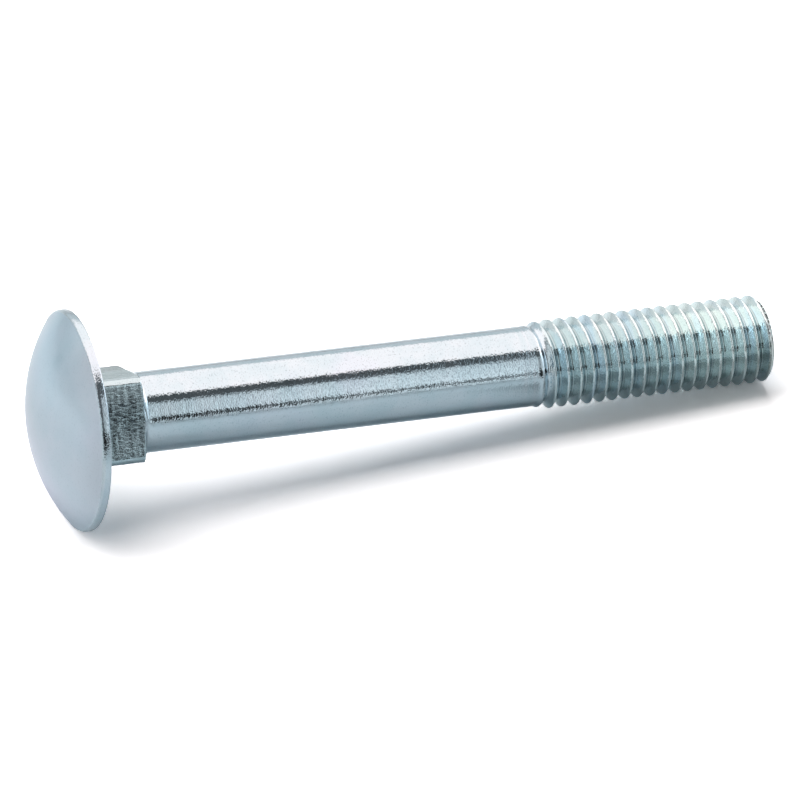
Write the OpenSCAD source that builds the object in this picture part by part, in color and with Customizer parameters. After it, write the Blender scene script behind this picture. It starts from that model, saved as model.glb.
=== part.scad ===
// Carriage bolt with a domed head, a square neck and a rolled thread.
// One solid forging, lying at rest on the edge of its head and the end of its thread.
// Millimetres. The head is at -X, the threaded end at +X, the floor is z = 0.

/* [Head] */
// Diameter of the domed head
head_diameter = 24.5; // [20:0.1:30]
// Height of the head's edge, from the bearing face to where the dome would meet it
head_edge_height = 0.87; // [0.8:0.01:1.5]
// Radius of the sphere that the dome is part of
dome_radius = 19.5; // [17:0.1:26]
// Rounding where the dome meets the edge of the head
dome_edge_round = 0.6; // [0.2:0.05:0.8]
// Rounding at the bearing side of the head's edge
bearing_edge_round = 0.2; // [0.05:0.05:0.3]

/* [Square neck] */
// Width of the neck across its flats
neck_width = 9.5; // [9.4:0.1:12]
// Length of the neck from the bearing face
neck_length = 6.25; // [3:0.05:12]
// Width across the rounded corners of the neck
neck_across_corners = 12.7; // [12.4:0.05:13.2]
// How far the neck's end slopes back toward its corners
neck_end_slope = 0.15; // [0.1:0.05:1]
// Length of the blend from the neck's end down to the shank
neck_blend = 0.6; // [0.3:0.05:1.2]

/* [Shank] */
// Diameter of the plain shank
shank_diameter = 9.02; // [8.8:0.02:9.3]
// Length from the bearing face to the end of the thread
bolt_length = 80; // [60:0.5:120]

/* [Thread] */
// Diameter over the thread's crests
thread_diameter = 9.88; // [9.7:0.02:10]
// Pitch of the thread
thread_pitch = 1.5; // [1.3:0.05:1.6]
// Depth of the thread from crest to root
thread_depth = 0.92; // [0.7:0.02:1]
// Length of the fully formed thread, measured from the end of the bolt
thread_length = 25.8; // [15:0.1:40]
// Length over which the thread fades into the shank
thread_run_out = 2.6; // [1.5:0.1:4]
// Distance from the end to the first crest on the thread's start line, as a share of the pitch
thread_phase = 0.21; // [0:0.01:0.99]

/* [End] */
// Length of the bevel at the end of the thread
end_bevel = 0.55; // [0.3:0.05:1.2]
// Diameter of the flat end face
end_diameter = 8.9; // [7:0.05:9.2]

/* [Rest] */
// Turn of the bolt about its own axis as it lies
rest_roll = -25; // [-45:1:45]

/* [Hidden] */
$fn = 96;
head_radius = head_diameter / 2;
shank_radius = shank_diameter / 2;
crest_radius = thread_diameter / 2;
root_radius = crest_radius - thread_depth;
dome_rise = dome_radius - sqrt(dome_radius * dome_radius - head_radius * head_radius);
head_height = head_edge_height + dome_rise;
dome_centre = dome_radius - head_height;
// Small inset that keeps the fading thread just under the shank's surface
fade_inset = 0.06;
// How far solids reach into their neighbours so that they join
overlap = 0.8;
// Straight steps in a rounded edge
round_steps = 5;
// Steps in one turn of the thread
turn_steps = 32;

// Where the rounding between the dome and the head's edge has its centre and its first point
dome_round_radius_at = head_radius - dome_edge_round;
dome_round_along = dome_centre
    - sqrt(pow(dome_radius - dome_edge_round, 2) - pow(dome_round_radius_at, 2));
dome_round_angle = atan2(dome_round_radius_at, dome_centre - dome_round_along);

// Where the thread begins to rise from the shank
thread_full_at = bolt_length - thread_length;
thread_fades_at = thread_full_at - thread_run_out;

// Slope of the end bevel, length for each unit of radius
end_radius = end_diameter / 2;
end_slope = end_bevel / (crest_radius - end_radius);

// The bolt rests on the bearing side of its head's edge and on the last crests
rest_crest_at = bolt_length - end_bevel - thread_pitch / 2;
rest_reach = rest_crest_at + bearing_edge_round;
rest_drop = head_radius - bearing_edge_round - crest_radius;
rest_tilt = atan(rest_drop / rest_reach)
    + asin(bearing_edge_round / sqrt(rest_reach * rest_reach + rest_drop * rest_drop));
rest_height = (head_radius - bearing_edge_round) * cos(rest_tilt)
    - bearing_edge_round * sin(rest_tilt) + bearing_edge_round;

// Reach of the tilted bolt to either side of its bearing face
reach_back = dome_radius - dome_centre * cos(rest_tilt);
reach_ahead = bolt_length * cos(rest_tilt) + end_radius * sin(rest_tilt);
rest_shift = (reach_back - reach_ahead) / 2;

// Turns of the head and of the thread's skin: the head's seam faces the floor, and so does the
// middle of one flat of the thread
head_turn = -rest_roll;
skin_turn = -rest_roll - 180 / turn_steps;

// One pitch of the thread: place along the pitch, height from root to crest
thread_form = [
    [0.00, 0.00],
    [0.10, 0.09],
    [0.38, 0.84],
    [0.50, 1.00],
    [0.62, 0.84],
    [0.90, 0.09]
];
form_points = len(thread_form);
crest_point = 3;

// A point on the rounding between the dome and the head's edge
function dome_round_point(a) = [
    dome_round_radius_at + dome_edge_round * sin(a),
    dome_round_along - dome_edge_round * cos(a)
];

// A point on the rounding at the bearing side of the head's edge
function bearing_round_point(a) = [
    head_radius - bearing_edge_round + bearing_edge_round * cos(a),
    -bearing_edge_round + bearing_edge_round * sin(a)
];

// Section of the head: radius across, the bolt's axis upward
module head_section() {
    turn = (90 - dome_round_angle) / round_steps;
    first = dome_round_point(dome_round_angle);
    second = dome_round_point(dome_round_angle + turn);
    outside = first + (first - second) * 2 * round_steps;
    intersection() {
        translate([0, dome_centre])
            circle(r = dome_radius);
        polygon(concat(
            [[0, -head_height - overlap]],
            [[outside[0], -head_height - overlap]],
            [outside],
            [for (i = [1 : round_steps]) dome_round_point(dome_round_angle + turn * i)],
            [for (i = [0 : round_steps]) bearing_round_point(90 * i / round_steps)],
            [[0, 0]]
        ));
    }
}

// Domed head with its flat bearing face at z = 0
module domed_head() {
    color([0.74, 0.78, 0.81])
        rotate([0, 0, head_turn])
            rotate_extrude()
                head_section();
}

// Square neck with rounded corners, its end turned off and blended into the shank
module square_neck() {
    shoulder = neck_width / 2 + fade_inset;
    inner = shank_radius - fade_inset;
    color([0.62, 0.66, 0.69])
        intersection() {
            translate([-neck_width / 2, -neck_width / 2, -overlap])
                cube([neck_width, neck_width, neck_length + neck_blend + 2 * overlap]);
            rotate_extrude()
                polygon([
                    [0, -2 * overlap],
                    [neck_across_corners / 2, -2 * overlap],
                    [neck_across_corners / 2, neck_length - neck_end_slope],
                    [shoulder, neck_length],
                    [shoulder + (inner - shoulder) * 0.62, neck_length + neck_blend * 0.4],
                    [inner, neck_length + neck_blend],
                    [0, neck_length + neck_blend]
                ]);
        }
}

// Plain round shank
module plain_shank() {
    color([0.78, 0.81, 0.84])
        translate([0, 0, -overlap])
            cylinder(r = shank_radius, h = thread_fades_at + overlap);
}

// Share of the thread's full height at a place along the bolt
function thread_share(z) =
    let (t = max(0, min(1, (z - thread_fades_at) / thread_run_out)))
    t * t * (3 - 2 * t);

// Radius of the thread's surface, where h is 0 at the root and 1 at the crest
function thread_radius(z, h) =
    let (share = thread_share(z))
    (shank_radius - fade_inset) * (1 - share) + (root_radius + thread_depth * h) * share;

// Right-hand rolled thread as one closed helical body, longer than needed at both ends
module helical_body() {
    first = thread_fades_at - thread_pitch - overlap;
    lead = (bolt_length - first) / thread_pitch - thread_phase - thread_form[crest_point][0];
    shift = lead - ceil(lead);
    rows = form_points * ceil((bolt_length + overlap - first) / thread_pitch + 1);
    function at(j, k) = j < turn_steps ? j * (rows + 1) + k : k + form_points;
    skin_points = [
        for (j = [0 : turn_steps - 1])
            for (k = [0 : rows])
                let (
                    z = first + thread_pitch * (floor(k / form_points)
                        + thread_form[k % form_points][0] + j / turn_steps + skin_turn / 360 + shift),
                    r = thread_radius(z, thread_form[k % form_points][1]),
                    a = 360 * j / turn_steps + skin_turn
                )
                [r * cos(a), r * sin(a), z]
    ];
    start_centre = len(skin_points);
    end_centre = start_centre + 1;
    skin = [
        for (j = [0 : turn_steps - 1])
            for (k = [0 : rows - 1 - (j == turn_steps - 1 ? form_points : 0)])
                for (half = [0, 1])
                    half == 0
                        ? [at(j, k), at(j, k + 1), at(j + 1, k + 1)]
                        : [at(j, k), at(j + 1, k + 1), at(j + 1, k)]
    ];
    start_loop = concat(
        [for (j = [0 : turn_steps]) at(j, 0)],
        [for (k = [1 : form_points]) at(0, form_points - k)]
    );
    end_loop = concat(
        [at(0, rows)],
        [for (k = [form_points : -1 : 0]) at(turn_steps - 1, rows - k)],
        [for (j = [2 : turn_steps]) at(turn_steps - j, rows)]
    );
    polyhedron(
        points = concat(
            skin_points,
            [[0, 0, first - 2 * thread_pitch]],
            [[0, 0, bolt_length + 3 * thread_pitch + overlap]]
        ),
        faces = concat(
            skin,
            [for (i = [0 : len(start_loop) - 2]) [start_loop[i], start_loop[i + 1], start_centre]],
            [for (i = [0 : len(end_loop) - 2]) [end_loop[i], end_loop[i + 1], end_centre]]
        )
    );
}

// Exact body that trims the thread to length and gives its end the bevel
module end_trim() {
    outer = crest_radius + overlap;
    rotate_extrude()
        polygon([
            [0, thread_fades_at - 4 * thread_pitch],
            [outer, thread_fades_at - 4 * thread_pitch],
            [outer, bolt_length - end_bevel - overlap * end_slope],
            [end_radius, bolt_length],
            [0, bolt_length]
        ]);
}

// Rolled thread with its fading start and its bevelled end
module rolled_thread() {
    color([0.66, 0.72, 0.75])
        intersection() {
            helical_body();
            end_trim();
        }
}

// The whole bolt, laid down in its resting pose
module carriage_bolt() {
    translate([rest_shift, 0, rest_height])
        rotate([0, 90 + rest_tilt, 0])
            rotate([0, 0, rest_roll])
                union() {
                    domed_head();
                    square_neck();
                    plain_shank();
                    rolled_thread();
                }
}

carriage_bolt();
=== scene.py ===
"""Zinc-plated carriage bolt with a domed head, a square neck and a rolled thread, lying on a pale floor."""
import math

import bpy
import numpy as np
from bpy.props import FloatProperty, FloatVectorProperty, IntProperty, PointerProperty
from mathutils import Matrix, Vector, noise


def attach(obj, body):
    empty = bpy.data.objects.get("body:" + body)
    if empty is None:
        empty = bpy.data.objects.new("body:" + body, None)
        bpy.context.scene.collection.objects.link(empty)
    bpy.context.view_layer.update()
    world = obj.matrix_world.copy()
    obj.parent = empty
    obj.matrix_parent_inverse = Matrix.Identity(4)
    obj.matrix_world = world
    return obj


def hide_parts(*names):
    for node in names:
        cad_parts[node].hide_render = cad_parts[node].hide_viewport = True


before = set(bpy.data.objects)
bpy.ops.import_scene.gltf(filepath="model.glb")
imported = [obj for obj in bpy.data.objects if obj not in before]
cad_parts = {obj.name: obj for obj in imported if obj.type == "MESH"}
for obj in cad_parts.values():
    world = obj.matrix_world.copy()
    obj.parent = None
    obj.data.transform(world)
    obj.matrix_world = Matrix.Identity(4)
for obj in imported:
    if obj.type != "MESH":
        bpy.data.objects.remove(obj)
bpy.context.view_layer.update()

bl_info = {
    "name": "Carriage Bolt",
    "version": (1, 0, 0),
    "blender": (4, 5, 0),
    "location": "3D View > Sidebar > Bolt",
    "description": "Builds a zinc-plated carriage bolt with a rolled thread, and the stage it lies on",
    "category": "Add Mesh",
}

MM = 0.001
# How far the head's smooth skin stays under the facets of the solid
HEAD_INSET = 0.012 * MM
# Rings of the flat bearing face
BEARING_RING_RADII = (11.5 * MM, 10.0 * MM, 8.5 * MM, 7.4 * MM)
# Rounding of the neck's corners and of the edges of its turned end and the bevel, and the fillet at the head
NECK_CORNER_SOFTNESS = 0.12 * MM
EDGE_SOFTNESS = 0.10 * MM
NECK_FILLET = 0.35 * MM
# How far the neck's shoulder stands over its flats
NECK_SHOULDER = 0.06 * MM
# The blend to the shank: its drawn length against the given one, and how steeply it falls
BLEND_STRETCH = 1.1
BLEND_STEEPNESS = 2.2
# Section of the thread, in shares of the pitch: half the crest, and one flank
HALF_CREST = 0.04
FLANK_SPAN = 0.40
# Section of the thread, in shares of its depth: rounding of its crest and its root, the root's level, and the
# range that these leave
CREST_SOFTNESS = 0.12
ROOT_SOFTNESS = 0.07
ROOT_LEVEL = 0.02
DEPTH_RANGE = 0.97
# Rounding of the end face's edge, and the rings of its shallow dish as (share of its radius, depth)
END_ROUND = 0.10 * MM
END_DISH = 0.12 * MM
END_RINGS = ((0.93, 0.0), (0.8, 0.03 * MM), (0.55, 0.08 * MM), (0.3, 0.11 * MM), (0.12, END_DISH))
# Unevenness that forging leaves on the skin and on the neck: its depth, and its fineness along and across
SKIN_WAVE = (0.012 * MM, 320, 420)
NECK_WAVE = (0.035 * MM, 2600, 504)
# Order of the finishes in the bolt's mesh
DOME, EDGE, NECK, SHANK, THREAD = range(5)


# Properties

class BoltSizes(bpy.types.PropertyGroup):
    """Sizes of the forging, the same as in the part's source"""

    head_diameter: FloatProperty(name="Head Diameter", description="Diameter of the domed head",
                                 default=24.5 * MM, unit="LENGTH", precision=5)
    head_edge_height: FloatProperty(name="Head Edge Height",
                                    description="From the bearing face to where the dome would meet the edge",
                                    default=0.87 * MM, unit="LENGTH", precision=5)
    dome_radius: FloatProperty(name="Dome Radius",
                               description="Radius of the sphere that the dome is part of",
                               default=19.5 * MM, unit="LENGTH", precision=5)
    dome_edge_round: FloatProperty(name="Dome Edge Rounding",
                                   description="Rounding where the dome meets the head's edge",
                                   default=0.6 * MM, unit="LENGTH", precision=5)
    bearing_edge_round: FloatProperty(name="Bearing Edge Rounding",
                                      description="Rounding at the bearing side of the head's edge",
                                      default=0.2 * MM, unit="LENGTH", precision=5)
    neck_width: FloatProperty(name="Neck Width", description="Width of the square neck across its flats",
                              default=9.5 * MM, unit="LENGTH", precision=5)
    neck_length: FloatProperty(name="Neck Length", description="Length of the neck from the bearing face",
                               default=6.25 * MM, unit="LENGTH", precision=5)
    neck_across_corners: FloatProperty(name="Neck Across Corners",
                                       description="Width across the rounded corners of the neck",
                                       default=12.7 * MM, unit="LENGTH", precision=5)
    neck_end_slope: FloatProperty(name="Neck End Slope",
                                  description="How far the neck's end slopes back toward its corners",
                                  default=0.15 * MM, unit="LENGTH", precision=5)
    neck_blend: FloatProperty(name="Neck Blend",
                              description="Length of the blend from the neck's end down to the shank",
                              default=0.6 * MM, unit="LENGTH", precision=5)
    shank_diameter: FloatProperty(name="Shank Diameter", description="Diameter of the plain shank",
                                  default=9.02 * MM, unit="LENGTH", precision=5)
    bolt_length: FloatProperty(name="Bolt Length",
                               description="From the bearing face to the end of the thread",
                               default=80.0 * MM, unit="LENGTH", precision=5)
    thread_diameter: FloatProperty(name="Thread Diameter", description="Diameter over the thread's crests",
                                   default=9.88 * MM, unit="LENGTH", precision=5)
    thread_pitch: FloatProperty(name="Thread Pitch", description="Pitch of the thread",
                                default=1.5 * MM, unit="LENGTH", precision=5)
    thread_depth: FloatProperty(name="Thread Depth", description="Depth of the thread from crest to root",
                                default=0.92 * MM, unit="LENGTH", precision=5)
    thread_length: FloatProperty(name="Thread Length", description="Length of the fully formed thread",
                                 default=25.8 * MM, unit="LENGTH", precision=5)
    thread_run_out: FloatProperty(name="Thread Run-out",
                                  description="Length over which the thread fades into the shank",
                                  default=2.6 * MM, unit="LENGTH", precision=5)
    thread_phase: FloatProperty(name="Thread Phase",
                                description="From the end to the first crest, as a share of the pitch",
                                default=0.21, min=0.0, max=1.0, subtype="FACTOR")
    end_bevel: FloatProperty(name="End Bevel", description="Length of the bevel at the end of the thread",
                             default=0.55 * MM, unit="LENGTH", precision=5)
    end_diameter: FloatProperty(name="End Diameter", description="Diameter of the flat end face",
                                default=8.9 * MM, unit="LENGTH", precision=5)
    rest_roll: FloatProperty(name="Rest Roll", description="Turn of the bolt about its own axis as it lies",
                             default=math.radians(-25.0), unit="ROTATION", subtype="ANGLE")
    rows_per_pitch: IntProperty(name="Rows per Pitch",
                                description="Mesh rows along one pitch of the thread",
                                default=22, min=8, max=24)


class BoltFinish(bpy.types.PropertyGroup):
    """Colours and grain of the plating"""

    zinc_pale: FloatVectorProperty(name="Pale Zinc",
                                   description="Lighter tint of the plating", subtype="COLOR",
                                   size=4, min=0.0, max=1.0, default=(0.515, 0.62, 0.685, 1.0))
    zinc_deep: FloatVectorProperty(name="Deep Zinc",
                                   description="Darker, bluer tint of the plating", subtype="COLOR",
                                   size=4, min=0.0, max=1.0, default=(0.465, 0.59, 0.655, 1.0))
    zinc_thread: FloatVectorProperty(name="Thread Zinc",
                                     description="Brighter, greener tint of the rolled thread",
                                     subtype="COLOR", size=4, min=0.0, max=1.0,
                                     default=(0.60, 0.72, 0.745, 1.0))
    # Partly the darker zinc of the rough forging and partly painted shade
    neck_side_forging_and_shade: FloatVectorProperty(name="Neck Side",
                                   description="How much the neck's marked sides darken the tint",
                                   subtype="COLOR", size=3, min=0.0, max=1.0, default=(0.72, 0.73, 0.74))
    zinc_bloom: FloatVectorProperty(name="Bloom",
                                    description="Faint lilac tint of the passivation", subtype="COLOR",
                                    size=4, min=0.0, max=1.0, default=(0.56, 0.575, 0.74, 1.0))
    thread_bloom: FloatVectorProperty(name="Thread Bloom", description="Blue tint in streaks on the thread",
                                      subtype="COLOR", size=4, min=0.0, max=1.0,
                                      default=(0.44, 0.60, 0.76, 1.0))
    grain_size: FloatProperty(name="Grain Size", description="Size of the plating's fine grain",
                              default=0.21 * MM, unit="LENGTH", precision=6)
    grain_depth: FloatProperty(name="Grain Depth", description="Height of the plating's fine grain",
                               default=0.03 * MM, unit="LENGTH", precision=6)


class StageSettings(bpy.types.PropertyGroup):
    """Floor, lamps and background"""

    floor_tone: FloatProperty(name="Floor Tone", description="Tone of the floor as the bolt mirrors it",
                              default=1.0, min=0.0, max=2.0)
    # Painted shade: the floor in front of the bolt is darker in the plating's mirror
    floor_front: FloatProperty(name="Floor in Front", description="Share of that tone in front of the bolt",
                               default=0.68, min=0.0, max=1.0, subtype="FACTOR")
    floor_white: FloatProperty(name="Floor White",
                               description="Tone of the floor for the camera, where over 1 is clear white",
                               default=1.8, min=0.0, max=3.0)
    lamp_level: FloatProperty(name="Lamp Level",
                              description="Light on the floor from the overhead lamp, where 1 is white",
                              default=2.6, min=0.0, max=5.0)
    front_level: FloatProperty(name="Front Level",
                               description="Light on the floor from the low lamp in front, where 1 is white",
                               default=0.04, min=0.0, max=5.0)
    room_level: FloatProperty(name="Room Level", description="Soft light from all round, where 1 is white",
                              default=0.14, min=0.0, max=5.0)
    softbox_tint: FloatVectorProperty(name="Softbox Tint",
                                      description="Colour of the softbox in the plating",
                                      subtype="COLOR", size=3, min=0.0, max=3.0, default=(1.76, 1.50, 1.42))


# Shape of the bolt, in its own axes: t along the bolt from the bearing face, r across, b round it

class BoltForm:
    """Radii, places and resting pose of the bolt, worked out from its sizes in metres."""

    def __init__(self, s):
        self.s = s
        self.head_r = s.head_diameter / 2
        self.shank_r = s.shank_diameter / 2
        self.crest_r = s.thread_diameter / 2
        self.root_r = self.crest_r - s.thread_depth
        self.end_r = s.end_diameter / 2
        rise = s.dome_radius - math.sqrt(s.dome_radius ** 2 - self.head_r ** 2)
        self.head_height = s.head_edge_height + rise
        self.dome_centre = s.dome_radius - self.head_height
        self.full_at = s.bolt_length - s.thread_length
        self.fades_at = self.full_at - s.thread_run_out
        reach = s.bolt_length - s.end_bevel - s.thread_pitch / 2 + s.bearing_edge_round
        drop = self.head_r - s.bearing_edge_round - self.crest_r
        self.tilt = math.atan(drop / reach) + math.asin(s.bearing_edge_round / math.hypot(reach, drop))
        self.height = ((self.head_r - s.bearing_edge_round) * math.cos(self.tilt)
                       - s.bearing_edge_round * math.sin(self.tilt) + s.bearing_edge_round)
        back = s.dome_radius - self.dome_centre * math.cos(self.tilt)
        ahead = s.bolt_length * math.cos(self.tilt) + self.end_r * math.sin(self.tilt)
        self.shift = (back - ahead) / 2
        self.matrix = (Matrix.Translation((self.shift, 0, self.height))
                       @ Matrix.Rotation(math.pi / 2 + self.tilt, 4, "Y")
                       @ Matrix.Rotation(s.rest_roll, 4, "Z"))

    def spot(self, t, r, b):
        """A point of the bolt in the materials' frame: millimetres, x along the bolt."""
        turn = b + self.s.rest_roll
        c, d = math.cos(self.tilt), math.sin(self.tilt)
        x, z = self.shift * c - self.height * d, self.height * c + self.shift * d
        return ((t + x) / MM, r * math.sin(turn) / MM, (z - r * math.cos(turn)) / MM)

    def tint_and_light_spot(self, t, r, degrees, inner, outer, tone):
        """A local tint of a finish, which also serves for spots of painted light and shade: its point, its
        reach in millimetres, and the tone at its middle.
        """
        return self.spot(t, r, math.radians(degrees)), inner, outer, tone

    def angles(self):
        """Angles round the bolt, closer together at the neck's corners."""
        quarter = np.concatenate([
            np.linspace(0, 39, 14, endpoint=False),
            np.linspace(39, 51, 12, endpoint=False),
            np.linspace(51, 90, 14, endpoint=False),
        ])
        return np.radians(np.concatenate([quarter + 90 * i for i in range(4)]))

    def neck(self, b):
        """Outline of the square neck with its rounded corners."""
        flat = self.s.neck_width / 2 / np.maximum(np.abs(np.cos(b)), np.abs(np.sin(b)))
        return soft_min(flat, self.s.neck_across_corners / 2, NECK_CORNER_SOFTNESS)

    def neck_turned(self, t):
        """Radius of the turned end that trims the neck and blends it into the shank."""
        s = self.s
        shoulder = s.neck_width / 2 + NECK_SHOULDER
        corner = s.neck_across_corners / 2
        slope = (corner - shoulder) / s.neck_end_slope
        back = shoulder + (s.neck_length - t) * slope
        u = np.clip((t - s.neck_length) / (s.neck_blend * BLEND_STRETCH), 0, 1)
        ahead = self.shank_r + (shoulder - self.shank_r) * (1 - u) ** BLEND_STEEPNESS
        return np.where(t < s.neck_length, back, ahead)

    def thread(self, t, b):
        """Radius of the rolled thread with its fading start and bevelled end."""
        s = self.s
        share = np.clip((t - self.fades_at) / s.thread_run_out, 0, 1)
        share = share * share * (3 - 2 * share)
        turn = (s.bolt_length - t) / s.thread_pitch - s.thread_phase + b / (2 * math.pi)
        u = np.abs(turn - np.round(turn))
        flank = 1.0 - (u - HALF_CREST) / FLANK_SPAN
        h = soft_min(flank, 1.0, CREST_SOFTNESS)
        h = -soft_min(-h, -ROOT_LEVEL, ROOT_SOFTNESS)
        h = np.clip((h - ROOT_LEVEL) / DEPTH_RANGE, 0, 1)
        r = self.root_r + s.thread_depth * h
        r = self.shank_r * (1 - share) + r * share
        slope = (self.crest_r - self.end_r) / s.end_bevel
        bevel = self.end_r + (s.bolt_length - t) * slope
        return soft_min(r, bevel, EDGE_SOFTNESS)


def soft_min(a, b, k):
    """The smaller of two values, rounded over where they are within k of each other."""
    h = np.clip(0.5 + 0.5 * (b - a) / k, 0, 1)
    return b + (a - b) * h - k * h * (1 - h)


def quarter_turn(steps):
    """Angles of a rounded edge, from nothing to a right angle."""
    return [math.pi / 2 * i / steps for i in range(steps + 1)]


def head_rings(form):
    """Rings of the dome, the head's rounded edge and the bearing face."""
    s = form.s
    head_r = form.head_r - HEAD_INSET
    dome_r = s.dome_radius - HEAD_INSET
    round_r = s.dome_edge_round
    round_at = head_r - round_r
    drop = math.sqrt((s.dome_radius - round_r) ** 2 - round_at ** 2)
    start = math.atan2(round_at, drop)
    dome_steps, round_steps = 40, 8
    for i in range(1, dome_steps + 1):
        a = start * i / dome_steps
        yield form.dome_centre - dome_r * math.cos(a), dome_r * math.sin(a), DOME
    for i in range(1, round_steps + 1):
        a = start + (math.pi / 2 - start) * i / round_steps
        yield form.dome_centre - drop - round_r * math.cos(a), round_at + round_r * math.sin(a), EDGE
    bearing_r = s.bearing_edge_round
    for a in quarter_turn(5):
        yield bearing_r * (math.sin(a) - 1), head_r - bearing_r * (1 - math.cos(a)), EDGE
    for r in BEARING_RING_RADII:
        yield 0.0, r, EDGE


def neck_rings(form, b):
    """Rings of the fillet at the head, the square neck and its blend, then the plain shank."""
    s = form.s
    outline = form.neck(b)
    for a in quarter_turn(4):
        yield NECK_FILLET * (1 - math.cos(a)), outline + NECK_FILLET * (1 - math.sin(a)), NECK
    blend_end = s.neck_length + s.neck_blend * BLEND_STRETCH
    for t in np.arange(0.4 * MM, blend_end, 0.14 * MM):
        turned = form.neck_turned(t)
        rounded = t < s.neck_length + 0.25 * MM
        r = soft_min(outline, turned, EDGE_SOFTNESS) if rounded else np.minimum(outline, turned)
        yield t, r, NECK if t < s.neck_length - 0.02 * MM else SHANK
    for t in np.arange(blend_end + 0.1 * MM, form.fades_at - 0.2 * MM, 1.2 * MM):
        yield t, form.shank_r, SHANK


def thread_rings(form, b):
    """Rings of the rolled thread, its end's rounded edge and the end face."""
    s = form.s
    for t in np.arange(form.fades_at, s.bolt_length - END_ROUND, s.thread_pitch / s.rows_per_pitch):
        yield t, form.thread(t, b), THREAD
    rim = form.thread(s.bolt_length - END_ROUND, b)
    for a in quarter_turn(4):
        yield s.bolt_length - END_ROUND * (1 - math.sin(a)), rim - END_ROUND * (1 - math.cos(a)), THREAD
    for share, depth in END_RINGS:
        yield s.bolt_length - depth, rim * share, THREAD


def bolt_rings(form):
    """Rings from the dome's top to the end face, as (t, r, finish) with t and r arrays round the bolt."""
    b = form.angles()
    one = np.ones_like(b)
    rings = []
    for part in (head_rings(form), neck_rings(form, b), thread_rings(form, b)):
        rings.extend((t * one, r * one, finish) for t, r, finish in part)
    return b, rings


def add_waviness(form, co, t_all, r_all, b_all):
    """Lowers the skin here and there by up to a few hundredths of a millimetre, as forging leaves it."""
    for i, (t, r, b) in enumerate(zip(t_all, r_all, b_all)):
        depth, along, across = NECK_WAVE if 0.3 * MM < t < form.s.neck_length else SKIN_WAVE
        y, z = math.cos(b), math.sin(b)
        wave = 0.5 + 0.5 * noise.noise(Vector((t * along, r * y * across, r * z * across)))
        co[i, 0] -= y * wave * depth
        co[i, 1] -= z * wave * depth


def build_bolt_mesh(form):
    """One closed mesh of the whole bolt, in the row frame."""
    b, rings = bolt_rings(form)
    n = len(b)
    t_all = np.concatenate([r[0] for r in rings])
    r_all = np.concatenate([r[1] for r in rings])
    b_all = np.tile(b, len(rings))
    co = np.stack([r_all * np.cos(b_all), r_all * np.sin(b_all), t_all], axis=1)
    add_waviness(form, co, t_all, r_all, b_all)
    top = len(co)
    co = np.vstack([co, [[0, 0, HEAD_INSET - form.head_height]], [[0, 0, form.s.bolt_length - END_DISH]]])
    faces, finish = [], []
    for j in range(n):
        faces.append((top, j, (j + 1) % n))
        finish.append(DOME)
    for i in range(len(rings) - 1):
        a0, a1 = i * n, (i + 1) * n
        for j in range(n):
            k = (j + 1) % n
            faces.append((a0 + j, a1 + j, a1 + k, a0 + k))
            finish.append(rings[i + 1][2])
    last = (len(rings) - 1) * n
    for j in range(n):
        faces.append((top + 1, last + (j + 1) % n, last + j))
        finish.append(THREAD)
    mesh = bpy.data.meshes.new("bolt_forging")
    m = np.array(form.matrix)
    world = co @ m[:3, :3].T + m[:3, 3]
    mesh.from_pydata(world.tolist(), [], faces)
    mesh.validate()
    mesh.polygons.foreach_set("material_index", finish)
    mesh.polygons.foreach_set("use_smooth", [True] * len(faces))
    mesh.update()
    return mesh


# Shader groups shared by the finishes

def new_group(name, inputs, outputs):
    """An empty shader group with named sockets: inputs are (name, type, default)."""
    group = bpy.data.node_groups.new(name, "ShaderNodeTree")
    for label, kind, value in inputs:
        socket = group.interface.new_socket(name=label, in_out="INPUT", socket_type=kind)
        if value is not None:
            socket.default_value = value
    for label, kind in outputs:
        group.interface.new_socket(name=label, in_out="OUTPUT", socket_type=kind)
    return group, group.nodes.new("NodeGroupInput"), group.nodes.new("NodeGroupOutput")


def math_node(tree, op, a, b=None):
    """A Math node fed with sockets or numbers."""
    node = tree.nodes.new("ShaderNodeMath")
    node.operation = op
    for i, value in enumerate((a, b)):
        if value is None:
            continue
        if isinstance(value, (int, float)):
            node.inputs[i].default_value = value
        else:
            tree.links.new(value, node.inputs[i])
    return node.outputs[0]


def noise_node(tree, vector, scale, detail=3.0, rough=0.55, distortion=0.0):
    """A 3D noise, its scale a number or a socket."""
    node = tree.nodes.new("ShaderNodeTexNoise")
    node.inputs["Detail"].default_value = detail
    node.inputs["Roughness"].default_value = rough
    node.inputs["Distortion"].default_value = distortion
    if isinstance(scale, (int, float)):
        node.inputs["Scale"].default_value = scale
    else:
        tree.links.new(scale, node.inputs["Scale"])
    tree.links.new(vector, node.inputs["Vector"])
    return node.outputs["Fac"]


def ramp(tree, value, low, high):
    """Spreads a value from low to high over 0 to 1."""
    node = tree.nodes.new("ShaderNodeMapRange")
    node.interpolation_type = "SMOOTHSTEP"
    node.inputs["From Min"].default_value = low
    node.inputs["From Max"].default_value = high
    tree.links.new(value, node.inputs["Value"])
    return node.outputs["Result"]


def stretch(tree, vector, factors):
    """Scales a coordinate by three factors."""
    node = tree.nodes.new("ShaderNodeVectorMath")
    node.operation = "MULTIPLY"
    node.inputs[1].default_value = factors
    tree.links.new(vector, node.inputs[0])
    return node.outputs[0]


def product(tree, first, *others):
    """Sockets and numbers multiplied with each other."""
    for value in others:
        first = math_node(tree, "MULTIPLY", first, value)
    return first


def near_spot(tree, vector, point, inner, outer):
    """1 within the inner distance of a point, fading to 0 at the outer one."""
    node = tree.nodes.new("ShaderNodeVectorMath")
    node.operation = "DISTANCE"
    node.inputs[1].default_value = point
    tree.links.new(vector, node.inputs[0])
    return ramp(tree, node.outputs["Value"], outer, inner)


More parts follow.
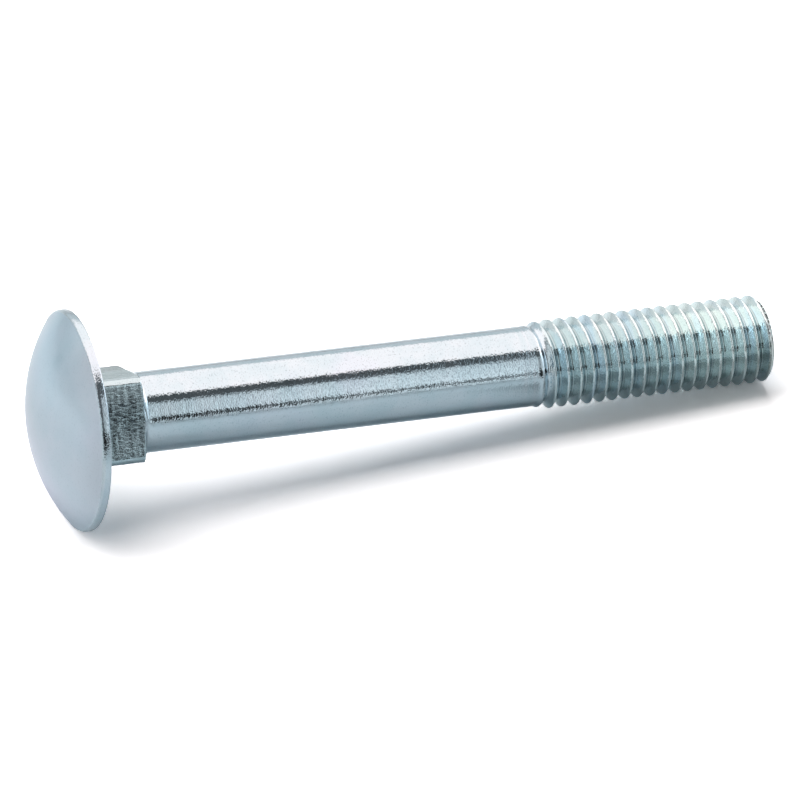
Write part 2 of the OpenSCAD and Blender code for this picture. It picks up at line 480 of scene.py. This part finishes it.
def multiplied(tree, colour, factor, tone):
    """A colour multiplied by a tone where the factor is 1."""
    node = tree.nodes.new("ShaderNodeMix")
    node.data_type = "RGBA"
    node.blend_type = "MULTIPLY"
    node.inputs["B"].default_value = (*tone, 1)
    tree.links.new(factor, node.inputs["Factor"])
    tree.links.new(colour, node.inputs["A"])
    return node.outputs["Result"]


def blended(tree, factor, first, second):
    """A colour between two others, which are sockets or three numbers."""
    node = tree.nodes.new("ShaderNodeMix")
    node.data_type = "RGBA"
    tree.links.new(factor, node.inputs["Factor"])
    for label, colour in (("A", first), ("B", second)):
        if isinstance(colour, bpy.types.NodeSocket):
            tree.links.new(colour, node.inputs[label])
        else:
            node.inputs[label].default_value = (*colour[:3], 1)
    return node.outputs["Result"]


def scaled(tree, colour, factor):
    """A colour made stronger or weaker by a factor."""
    node = tree.nodes.new("ShaderNodeVectorMath")
    node.operation = "SCALE"
    tree.links.new(colour, node.inputs[0])
    tree.links.new(factor, node.inputs["Scale"])
    return node.outputs[0]


def bumped(tree, height, distance, normal=None):
    """A normal raised by a height, over another normal if one is given."""
    node = tree.nodes.new("ShaderNodeBump")
    node.inputs["Distance"].default_value = distance
    tree.links.new(height, node.inputs["Height"])
    if normal is not None:
        tree.links.new(normal, node.inputs["Normal"])
    return node.outputs["Normal"]


def zinc_grain_group():
    """Fine crystalline grain of the plating: a height and a speck mask. The vector is in millimetres."""
    group, gin, gout = new_group("Zinc Grain", [
        ("Vector", "NodeSocketVector", None),
        ("Fineness", "NodeSocketFloat", 7.5),
        ("Specks", "NodeSocketFloat", 0.3),
    ], [("Height", "NodeSocketFloat"), ("Speck", "NodeSocketFloat")])
    vector, fineness = gin.outputs["Vector"], gin.outputs["Fineness"]
    fine = noise_node(group, vector, fineness, 0.6, 0.5)
    coarse = noise_node(group, vector, product(group, fineness, 0.3), 1.0, 0.5)
    height = math_node(group, "ADD", product(group, fine, 0.6), product(group, coarse, 0.7))
    speck = product(group, ramp(group, fine, 0.6, 0.74), gin.outputs["Specks"])
    group.links.new(height, gout.inputs["Height"])
    group.links.new(speck, gout.inputs["Speck"])
    return group


def plating_tint_group():
    """Soft clouds of tint in the plating, from pale to deep with a little bloom."""
    group, gin, gout = new_group("Plating Tint", [
        ("Vector", "NodeSocketVector", None),
        ("Pale", "NodeSocketColor", (0.55, 0.64, 0.7, 1)),
        ("Deep", "NodeSocketColor", (0.45, 0.55, 0.62, 1)),
        ("Bloom", "NodeSocketColor", (0.6, 0.6, 0.7, 1)),
        ("Cloud Scale", "NodeSocketFloat", 0.25),
        ("Bloom Amount", "NodeSocketFloat", 0.2),
    ], [("Color", "NodeSocketColor"), ("Cloud", "NodeSocketFloat")])
    vector, scale = gin.outputs["Vector"], gin.outputs["Cloud Scale"]
    cloud = ramp(group, noise_node(group, vector, scale, 4.0, 0.6), 0.36, 0.64)
    bloom = ramp(group, noise_node(group, vector, product(group, scale, 0.45), 2.0, 0.5), 0.5, 0.68)
    plain = blended(group, cloud, gin.outputs["Deep"], gin.outputs["Pale"])
    colour = blended(group, product(group, bloom, gin.outputs["Bloom Amount"]), plain, gin.outputs["Bloom"])
    group.links.new(colour, gout.inputs["Color"])
    group.links.new(cloud, gout.inputs["Cloud"])
    return group


def forging_ridges_group():
    """Short marks that the die leaves on the neck's faces, drawn out along the bolt."""
    group, gin, gout = new_group("Forging Ridges", [
        ("Vector", "NodeSocketVector", None),
        ("Ridge Scale", "NodeSocketFloat", 4.2),
    ], [("Height", "NodeSocketFloat"), ("Groove", "NodeSocketFloat")])
    drawn = stretch(group, gin.outputs["Vector"], (0.3, 1.0, 1.0))
    ridges = noise_node(group, drawn, gin.outputs["Ridge Scale"], 1.5, 0.6, 0.3)
    group.links.new(ridges, gout.inputs["Height"])
    group.links.new(ramp(group, ridges, 0.50, 0.36), gout.inputs["Groove"])
    return group


def group_node(tree, group, vector):
    """A shader group fed with a coordinate."""
    node = tree.nodes.new("ShaderNodeGroup")
    node.node_tree = group
    tree.links.new(vector, node.inputs["Vector"])
    return node


# Tones that the finishes are multiplied by: in the specks, painted shade in the thread's root, in the pits at
# its end, painted shade on the neck's top and painted shade in the grooves of its sides
SPECK_TONE = (0.55, 0.57, 0.6)
ROOT_SHADE_TONE = (0.58, 0.64, 0.66)
PIT_TONE = (0.1, 0.1, 0.11)
NECK_TOP_SHADE_TONE = (0.46, 0.56, 0.57)
GROOVE_SHADE_TONE = (0.3, 0.32, 0.34)
# How much finer the grain is along the bolt than across it
GRAIN_DRAWN = (1.7, 1, 1)
# How the tint's clouds vary the roughness
ROUGH_BASE, ROUGH_SPREAD = 0.87, 0.25


def bolt_coordinate(tree, form):
    """The materials' frame, in millimetres: the vector, its place along the bolt and its place across."""
    coord = tree.nodes.new("ShaderNodeTexCoord")
    mapping = tree.nodes.new("ShaderNodeMapping")
    mapping.inputs["Scale"].default_value = (1 / MM, 1 / MM, 1 / MM)
    mapping.inputs["Rotation"].default_value = (0, -form.tilt, 0)
    tree.links.new(coord.outputs["Object"], mapping.inputs["Vector"])
    split = tree.nodes.new("ShaderNodeSeparateXYZ")
    tree.links.new(mapping.outputs["Vector"], split.inputs["Vector"])
    return mapping.outputs["Vector"], split.outputs["X"], split.outputs["Y"]


def rolled_tint_and_root_shade(tree, form, finish, tint, bloom, vector, along, colour):
    """Brightens the tint where the thread begins, and paints shade into the thread's root."""
    start = form.spot(form.fades_at, 0, 0)[0]
    rolled = ramp(tree, along, start + 0.6, start + 3.4)
    tree.links.new(product(tree, rolled, bloom), tint.inputs["Bloom Amount"])
    tints = zip(finish.zinc_pale, finish.zinc_thread, finish.zinc_deep)
    lift = [new / (0.5 * (pale + deep)) for pale, new, deep in tints][:3]
    colour = multiplied(tree, colour, rolled, lift)
    # Painted shade: the tint is darkened near the root's radius, where the flanks shade the groove
    axis = (0, 0, form.spot(0, 0, 0)[2])
    root = form.root_r / MM
    root_shade = near_spot(tree, stretch(tree, vector, (0, 1, 1)), axis, root + 0.03, root + 0.12)
    return multiplied(tree, colour, product(tree, root_shade, rolled), ROOT_SHADE_TONE)


def end_pits(tree, form, vector, along, colour):
    """Small dark pits on the last crest, on its upper front side, and a faint trace in the end's dish."""
    end = form.spot(form.s.bolt_length, 0, 0)[0]
    pits = ramp(tree, noise_node(tree, vector, 2.6, 1.5, 0.6), 0.44, 0.5)
    begin = ramp(tree, along, end - 0.95, end - 0.7)
    stop = ramp(tree, along, end - 0.04, end - 0.16)
    upper = near_spot(tree, vector, form.spot(form.s.bolt_length, form.crest_r, math.radians(215)), 3.4, 5.6)
    return multiplied(tree, colour, product(tree, pits, begin, stop, upper), PIT_TONE)


def neck_marks_and_shade(tree, form, finish, marks, vector, across, colour):
    """Darker sides of the neck, from its rough forged zinc and painted shade; painted shade on its top behind
    the front edge; and painted shade in the grooves of the die's marks on its sides, strongest at a spot on
    the front face near the shank.
    """
    # The neck's sides darker, partly for the rough forged zinc and partly as painted shade
    side = ramp(tree, math_node(tree, "ABSOLUTE", across), 2.6, 3.6)
    colour = multiplied(tree, colour, side, finish.neck_side_forging_and_shade)
    # Painted shade over the neck's top, behind its front edge
    colour = multiplied(tree, colour, ramp(tree, across, -1.5, -0.7), NECK_TOP_SHADE_TONE)
    # Painted shade in the grooves of the die's marks, strongest at one spot on the front face and faint
    # elsewhere
    groove_shade_spot = near_spot(tree, vector, form.spot(4.3 * MM, 4.95 * MM, math.radians(256)), 0.8, 4.6)
    groove_shade_spot = math_node(tree, "ADD", product(tree, groove_shade_spot, 0.88), 0.12)
    return multiplied(tree, colour, product(tree, marks.outputs["Groove"], side, groove_shade_spot), GROOVE_SHADE_TONE)


def finish_material(name, form, finish, groups, rough=0.2, depth=1.0, specks=0.2, cloud=0.25, bloom=0.15,
                    drawn=(1, 1, 1), gain=(1, 1, 1), spots=(), thread=False, ridges=0.0):
    """A metallic zinc finish with its own grain and clouds.

    gain makes the whole tint lighter or darker, spots are (point, inner, outer, tone) that tint it locally
    and in places paint light and shade on it, thread adds the rolled thread's tint, painted shade in its root
    and the pits at its end, and ridges is the height of the neck's marks in millimetres, which also brings
    the neck's darker sides and painted shade.
    """
    mat = bpy.data.materials.new(name)
    mat.use_nodes = True
    tree = mat.node_tree
    tree.nodes.clear()
    out = tree.nodes.new("ShaderNodeOutputMaterial")
    bsdf = tree.nodes.new("ShaderNodeBsdfPrincipled")
    bsdf.inputs["Metallic"].default_value = 1.0
    tree.links.new(bsdf.outputs["BSDF"], out.inputs["Surface"])
    vector, along, across = bolt_coordinate(tree, form)

    tint = group_node(tree, groups["tint"], stretch(tree, vector, drawn))
    bloom_tint = finish.thread_bloom if thread else finish.zinc_bloom
    for label, colour in (("Pale", finish.zinc_pale), ("Deep", finish.zinc_deep), ("Bloom", bloom_tint)):
        tint.inputs[label].default_value = [c * g for c, g in zip(colour, (*gain, 1))]
    tint.inputs["Cloud Scale"].default_value = cloud
    tint.inputs["Bloom Amount"].default_value = bloom
    colour = tint.outputs["Color"]
    # Local tints, and spots of painted light and shade
    for point, inner, outer, tone in spots:
        colour = multiplied(tree, colour, near_spot(tree, vector, point, inner, outer), tone)
    if thread:
        colour = rolled_tint_and_root_shade(tree, form, finish, tint, bloom, vector, along, colour)

    grain = group_node(tree, groups["grain"], stretch(tree, vector, GRAIN_DRAWN))
    grain.inputs["Fineness"].default_value = MM / finish.grain_size
    grain.inputs["Specks"].default_value = specks
    colour = multiplied(tree, colour, grain.outputs["Speck"], SPECK_TONE)
    normal = bumped(tree, grain.outputs["Height"], finish.grain_depth * depth)
    if thread:
        colour = end_pits(tree, form, vector, along, colour)
    if ridges > 0:
        marks = group_node(tree, groups["ridges"], vector)
        colour = neck_marks_and_shade(tree, form, finish, marks, vector, across, colour)
        normal = bumped(tree, marks.outputs["Height"], ridges * MM, normal)
    tree.links.new(colour, bsdf.inputs["Base Color"])
    tree.links.new(normal, bsdf.inputs["Normal"])
    spread = product(tree, tint.outputs["Cloud"], rough * ROUGH_SPREAD)
    tree.links.new(math_node(tree, "ADD", spread, rough * ROUGH_BASE), bsdf.inputs["Roughness"])
    return mat


# Stage helpers

def seen_background(tree):
    """1 where the ray comes from the camera, a glossy surface or glass."""
    path = tree.nodes.new("ShaderNodeLightPath")
    seen = math_node(tree, "MAXIMUM", path.outputs["Is Camera Ray"], path.outputs["Is Glossy Ray"])
    return path, math_node(tree, "MAXIMUM", seen, path.outputs["Is Transmission Ray"])


def place(angle, distance, x, height):
    """A point at an angle from straight up, positive toward the camera, seen along the bolt."""
    return Vector((x, -math.sin(angle) * distance, math.cos(angle) * distance + height))


# Bands that the plating mirrors, as (angle at the head's end, angle at the thread's end, tone at each, tone
# at the far side): the overhead softbox, the gap below it, a grey screen, a thin dark edge and the horizon
SOFTBOX = "softbox"
REFLECTOR_BANDS = (
    (-66, -66, SOFTBOX, SOFTBOX, SOFTBOX),
    (-46, -46, SOFTBOX, SOFTBOX, SOFTBOX),
    (10, 10, SOFTBOX, SOFTBOX, SOFTBOX),
    (12.5, 12.5, 0.20, 0.05, 1.2),
    (31.5, 29.5, 0.10, 0.12, 0.9),
    (39.5, 36.5, 0.48, 1.15, 0.72),
    (64, 64, 0.58, 1.3, 0.60),
    (69.5, 75.5, 0.60, 1.3, 0.58),
    (71, 77.5, 0.0, 0.34, 0.56),
    (87.4, 82, 0.0, 0.34, 0.56),
    (88.4, 84, 0.95, 1.25, 0.54),
    (89.3, 89.3, 1.0, 1.25, 0.54),
)
# Columns of the reflector, as places along the bolt
REFLECTOR_COLUMNS = (-0.85, -0.62, -0.57, -0.42, -0.40, -0.36, -0.24, -0.12, -0.08, -0.05, 0.0, 0.055,
                     0.07, 0.085, 0.10, 0.115, 0.13, 0.15, 0.18, 0.22, 0.36, 0.5, 1.3)
# Where the bands have their tones for the head and the thread, and where they turn to those of the far side
HEAD_AT, THREAD_AT = 0.055, 0.13
NEAR_TO, FAR_FROM, FAR_MIDDLE, FAR_TO = 0.15, 0.22, 0.28, 0.36
# The far side: its gain, how fast that grows along it, how blue it is and how much its softbox is lifted
FAR_GAIN, FAR_GROWTH, FAR_COOL, FAR_LIFT = 1.2, 10, 0.05, 0.3
# The darker gap beside the camera, which ends above the horizon
GAP_FROM, GAP_TO, GAP_ABOVE, GAP_TONE = -0.40, -0.05, 75, 0.16
# The overhead card past the head: where it begins and is bright, the angles it lies between, its tones
CARD_AT, CARD_BRIGHT_AT = -0.41, -0.6
CARD_ANGLES = (-60, 12)
CARD_TONE, CARD_BRIGHT_TONE = 0.35, 0.85
REFLECTOR_DISTANCE, REFLECTOR_HEIGHT = 0.36, 0.009


def share_between(x, start, end):
    """How far a place lies between two others, from 0 to 1."""
    return min(1.0, max(0.0, (x - start) / (end - start)))


def band_tone(band, x, tint):
    """Colour of a band at a place along the reflector."""
    angle, _, head, thread, far = band
    if x < CARD_AT:
        tone = CARD_BRIGHT_TONE if x < CARD_BRIGHT_AT else CARD_TONE
        return (tone, tone, tone, 1.0)
    if head == SOFTBOX:
        lift = 1 + FAR_LIFT * share_between(x, FAR_FROM, FAR_TO)
        return (*(c * lift for c in tint), 1.0)
    far *= FAR_GAIN + FAR_GROWTH * (min(x, FAR_TO) - FAR_MIDDLE)
    f = share_between(x, HEAD_AT, THREAD_AT)
    g = share_between(x, NEAR_TO, FAR_FROM)
    tone = (head + (thread - head) * f * f) * (1 - g) + far * g
    if GAP_FROM < x < GAP_TO and angle < GAP_ABOVE:
        tone = min(tone, GAP_TONE)
    cool = FAR_COOL * g
    return (tone * (1 - cool), tone, tone * (1 + cool), 1.0)


def in_reflector(row, column):
    """Whether the reflector has a face there: past the head, it is only the overhead card."""
    low, high = CARD_ANGLES
    overhead = low < REFLECTOR_BANDS[row][0] and REFLECTOR_BANDS[row + 1][0] < high
    return REFLECTOR_COLUMNS[column + 1] > CARD_AT or overhead


def build_reflector(tint):
    """A band of cards round the bolt that only its mirror-like plating sees."""
    verts, tones = [], []
    for band in REFLECTOR_BANDS:
        left, right = band[:2]
        for x in REFLECTOR_COLUMNS:
            angle = left + (right - left) * share_between(x, HEAD_AT, THREAD_AT)
            verts.append(tuple(place(math.radians(angle), REFLECTOR_DISTANCE, x, REFLECTOR_HEIGHT)))
            tones.append(band_tone(band, x, tint))
    n = len(REFLECTOR_COLUMNS)
    faces = [(r * n + i, r * n + i + 1, (r + 1) * n + i + 1, (r + 1) * n + i)
             for r in range(len(REFLECTOR_BANDS) - 1) for i in range(n - 1) if in_reflector(r, i)]
    mesh = bpy.data.meshes.new("reflector")
    mesh.from_pydata(verts, [], faces)
    layer = mesh.color_attributes.new("tone", "FLOAT_COLOR", "POINT")
    layer.data.foreach_set("color", [c for tone in tones for c in tone])
    mat = bpy.data.materials.new("reflector_tone")
    mat.use_nodes = True
    tree = mat.node_tree
    tree.nodes.clear()
    out = tree.nodes.new("ShaderNodeOutputMaterial")
    tone = tree.nodes.new("ShaderNodeVertexColor")
    tone.layer_name = "tone"
    glow = tree.nodes.new("ShaderNodeEmission")
    tree.links.new(tone.outputs["Color"], glow.inputs["Color"])
    tree.links.new(glow.outputs[0], out.inputs["Surface"])
    mesh.materials.append(mat)
    obj = bpy.data.objects.new("reflector", mesh)
    bpy.context.collection.objects.link(obj)
    obj.visible_camera = False
    obj.visible_diffuse = False
    obj.visible_shadow = False
    return obj


# How far the floor reaches to each side
FLOOR_REACH = 6.0
# The floor as the plating mirrors it, with painted light behind the bolt and past its head and painted shade
# in front of it: where it turns pale, behind the bolt and past its head, as (axis, start, full) in metres,
# its share of the tone there, and the tint of the rest
PALE_FLOOR = (("Y", -0.004, 0.010), ("X", -0.038, -0.047))
FLOOR_BEHIND = 0.91
FRONT_TINT = (0.945, 1.0, 1.03)
# Zones of painted shade and light, where that share changes, as (change, ramps): well behind the bolt, beside
# its head, ahead of it, in front of the thread, beyond the thread's end, far in front, and under the bolt,
# where painted light lifts its shadow
FLOOR_ZONES = (
    (-0.28, (("Y", 0.01, 0.12),)),
    (-0.24, (("X", -0.034, -0.052), ("Y", 0.07, 0.02))),
    (0.10, (("Y", -0.015, -0.05),)),
    (-0.40, (("X", 0.011, 0.023), ("Y", -0.002, -0.012), ("Y", -0.04, -0.018))),
    (-0.16, (("X", 0.08, 0.2),)),
    (0.42, (("Y", -0.4, -1.5),)),
    (0.16, (("Y", -0.014, -0.004),)),
)
# Tint of the floor for the camera, and the room's level in the plating with its lift past the head
CAMERA_TINT = (1.02, 0.985, 0.985)
MIRRORED_ROOM, PAST_HEAD_LIFT = 0.84, 0.08
# Lamps, as (name, angle toward the camera, distance, shift along the bolt, width, height)
LAMPS = (
    ("overhead", -18, 0.4, -0.42, 1.1, 0.42),
    ("front", 74, 0.6, 0.0, 0.9, 0.25),
)
# The camera's place, the way it looks, its right-hand side, its sensor in millimetres and its focal length in
# picture widths
CAMERA_AT = Vector((-0.258443, -0.761083, 0.592551))
CAMERA_AHEAD = Vector((0.25944401, 0.7650415, -0.58940674))
CAMERA_RIGHT = Vector((0.94702526, -0.32115908, 0.0))
SENSOR_WIDTH = 36.0
FOCAL_WIDTHS = 11.25


# Operators

class BOLT_OT_forge(bpy.types.Operator):
    """Build the bolt as one closed mesh with its zinc finishes"""
    bl_idname = "bolt.forge"
    bl_label = "Forge Bolt"

    def execute(self, context):
        sizes = context.scene.bolt_sizes
        form = BoltForm(sizes)
        mesh = build_bolt_mesh(form)
        if not mesh.polygons:
            raise RuntimeError("the bolt's mesh is empty")
        obj = bpy.data.objects.new("bolt_forging", mesh)
        context.collection.objects.link(obj)
        groups = {"grain": zinc_grain_group(), "tint": plating_tint_group(), "ridges": forging_ridges_group()}
        end = sizes.bolt_length
        dome_spots = (
            form.tint_and_light_spot(-2.5 * MM, 10.5 * MM, 50, 2.0, 12.0, (1.13, 0.96, 1.05)),
            form.tint_and_light_spot(-3.0 * MM, 10.0 * MM, 190, 2.0, 10.0, (0.90, 1.0, 1.02)),
        )
        # A painted highlight on the neck's lower front corner
        neck_highlight = (form.tint_and_light_spot(3.1 * MM, 6.2 * MM, 315, 1.0, 5.5, (1.34, 1.34, 1.34)),)
        # Painted shade on the front of the thread's end, and a painted highlight over the thread's upper
        # front side 5 mm from its end
        thread_light_and_shade = (
            form.tint_and_light_spot(end, form.crest_r, 290, 1.0, 4.5, (0.70, 0.70, 0.68)),
            form.tint_and_light_spot(end - 5 * MM, form.crest_r, 230, 4.0, 14.0, (1.14, 1.12, 1.09)),
        )
        for name, settings in (
            ("zinc_dome", dict(rough=0.32, depth=0.12, specks=0.16, cloud=0.16, bloom=0.2,
                               gain=(0.985, 0.95, 0.975), spots=dome_spots)),
            ("zinc_edge", dict(rough=0.15, depth=1.2, specks=0.3)),
            ("zinc_neck", dict(rough=0.2, depth=0.5, specks=0.3, gain=(0.88, 0.93, 0.91),
                               spots=neck_highlight, ridges=0.035)),
            ("zinc_shank", dict(rough=0.08, depth=0.78, specks=0.4)),
            ("zinc_thread", dict(rough=0.12, depth=1.0, specks=0.3, bloom=0.65, drawn=(8, 0.5, 0.5),
                                 spots=thread_light_and_shade, thread=True)),
        ):
            mesh.materials.append(finish_material(name, form, context.scene.bolt_finish, groups, **settings))
        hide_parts("carriage_bolt")
        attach(obj, "root")
        return {"FINISHED"}


class BOLT_OT_stage(bpy.types.Operator):
    """Set the pale floor, the soft lamps, the background and the camera"""
    bl_idname = "bolt.stage"
    bl_label = "Set Stage"

    def execute(self, context):
        stage = context.scene.bolt_stage
        scene = context.scene
        self.set_floor(stage)
        self.set_world(scene, stage)
        self.set_lamps(stage)
        self.set_camera(scene)
        scene.view_settings.view_transform = "Standard"
        return {"FINISHED"}

    def set_floor(self, stage):
        mesh = bpy.data.meshes.new("floor")
        corners = [(x * FLOOR_REACH, y * FLOOR_REACH, 0) for x, y in ((-1, -1), (1, -1), (1, 1), (-1, 1))]
        mesh.from_pydata(corners, [], [(0, 1, 2, 3)])
        floor = bpy.data.objects.new("floor", mesh)
        bpy.context.collection.objects.link(floor)
        mat = bpy.data.materials.new("floor_white")
        mat.use_nodes = True
        tree = mat.node_tree
        tree.nodes.clear()
        out = tree.nodes.new("ShaderNodeOutputMaterial")
        diffuse = tree.nodes.new("ShaderNodeBsdfDiffuse")
        path = tree.nodes.new("ShaderNodeLightPath")
        coord = tree.nodes.new("ShaderNodeTexCoord")
        split = tree.nodes.new("ShaderNodeSeparateXYZ")
        tree.links.new(coord.outputs["Object"], split.inputs["Vector"])
        # The floor's tone in the plating's mirror, with painted light and shade by place
        pale = [ramp(tree, split.outputs[axis], start, full) for axis, start, full in PALE_FLOOR]
        bright = math_node(tree, "MAXIMUM", *pale)
        share = product(tree, bright, FLOOR_BEHIND - stage.floor_front)
        share = math_node(tree, "ADD", share, stage.floor_front)
        for change, ramps in FLOOR_ZONES:
            zone = [ramp(tree, split.outputs[axis], start, full) for axis, start, full in ramps]
            share = math_node(tree, "ADD", share, product(tree, *zone, change))
        glossy = blended(tree, bright, FRONT_TINT, (1.0, 1.0, 1.0))
        glossy = scaled(tree, glossy, product(tree, share, stage.floor_tone))
        seen = [c * stage.floor_white for c in CAMERA_TINT]
        tree.links.new(blended(tree, path.outputs["Is Camera Ray"], glossy, seen), diffuse.inputs["Color"])
        tree.links.new(diffuse.outputs[0], out.inputs["Surface"])
        mesh.materials.append(mat)

    def set_world(self, scene, stage):
        world = bpy.data.worlds.new("studio")
        scene.world = world
        world.use_nodes = True
        tree = world.node_tree
        tree.nodes.clear()
        out = tree.nodes.new("ShaderNodeOutputWorld")
        room = tree.nodes.new("ShaderNodeBackground")
        room.inputs["Color"].default_value = (1, 1, 1, 1)
        room.inputs["Strength"].default_value = stage.room_level
        white = tree.nodes.new("ShaderNodeBackground")
        white.inputs["Color"].default_value = (1, 1, 1, 1)
        mix = tree.nodes.new("ShaderNodeMixShader")
        path, seen = seen_background(tree)
        coord = tree.nodes.new("ShaderNodeTexCoord")
        split = tree.nodes.new("ShaderNodeSeparateXYZ")
        tree.links.new(coord.outputs["Generated"], split.inputs["Vector"])
        past_head = product(tree, ramp(tree, split.outputs["X"], -0.85, -0.99), PAST_HEAD_LIFT)
        mirrored = math_node(tree, "ADD", past_head, MIRRORED_ROOM)
        level = math_node(tree, "MAXIMUM", mirrored, path.outputs["Is Camera Ray"])
        tree.links.new(level, white.inputs["Strength"])
        tree.links.new(seen, mix.inputs[0])
        tree.links.new(room.outputs[0], mix.inputs[1])
        tree.links.new(white.outputs[0], mix.inputs[2])
        tree.links.new(mix.outputs[0], out.inputs["Surface"])

    def set_lamps(self, stage):
        levels = (stage.lamp_level, stage.front_level)
        for (name, angle, distance, aside, wide, tall), level in zip(LAMPS, levels):
            data = bpy.data.lights.new(name, "AREA")
            data.shape = "RECTANGLE"
            data.size, data.size_y = wide, tall
            lamp = bpy.data.objects.new(name, data)
            bpy.context.collection.objects.link(lamp)
            spot = place(math.radians(angle), distance, 0.0, 0.0)
            data.energy = level * (math.pi * distance) ** 2 / math.cos(math.radians(angle))
            lamp.location = spot + Vector((aside, 0, 0))
            lamp.rotation_euler = (-spot).to_track_quat("-Z", "Y").to_euler()
            lamp.visible_camera = False
            lamp.visible_glossy = False
        build_reflector(stage.softbox_tint)

    def set_camera(self, scene):
        data = bpy.data.cameras.new("camera")
        data.sensor_width = SENSOR_WIDTH
        data.lens = FOCAL_WIDTHS * SENSOR_WIDTH
        data.clip_end = 50.0
        camera = bpy.data.objects.new("camera", data)
        bpy.context.collection.objects.link(camera)
        turn = Matrix((CAMERA_RIGHT, CAMERA_RIGHT.cross(CAMERA_AHEAD), -CAMERA_AHEAD)).transposed()
        camera.matrix_world = Matrix.Translation(CAMERA_AT) @ turn.to_4x4()
        scene.camera = camera


class BOLT_PT_panel(bpy.types.Panel):
    """Panel that lists the bolt's builders and sizes"""
    bl_idname = "BOLT_PT_panel"
    bl_label = "Carriage Bolt"
    bl_space_type = "VIEW_3D"
    bl_region_type = "UI"
    bl_category = "Bolt"

    def draw(self, context):
        column = self.layout.column()
        for op in (BOLT_OT_forge, BOLT_OT_stage):
            column.operator(op.bl_idname)
        for group in (context.scene.bolt_sizes, context.scene.bolt_finish, context.scene.bolt_stage):
            for key in group.__annotations__:
                column.prop(group, key)


CLASSES = (BoltSizes, BoltFinish, StageSettings, BOLT_OT_forge, BOLT_OT_stage, BOLT_PT_panel)


def register():
    for cls in CLASSES:
        bpy.utils.register_class(cls)
    bpy.types.Scene.bolt_sizes = PointerProperty(type=BoltSizes)
    bpy.types.Scene.bolt_finish = PointerProperty(type=BoltFinish)
    bpy.types.Scene.bolt_stage = PointerProperty(type=StageSettings)


def unregister():
    del bpy.types.Scene.bolt_stage, bpy.types.Scene.bolt_finish, bpy.types.Scene.bolt_sizes
    for cls in reversed(CLASSES):
        bpy.utils.unregister_class(cls)


def main():
    register()
    bpy.ops.bolt.stage()
    bpy.ops.bolt.forge()


if __name__ == "__main__":
    main()
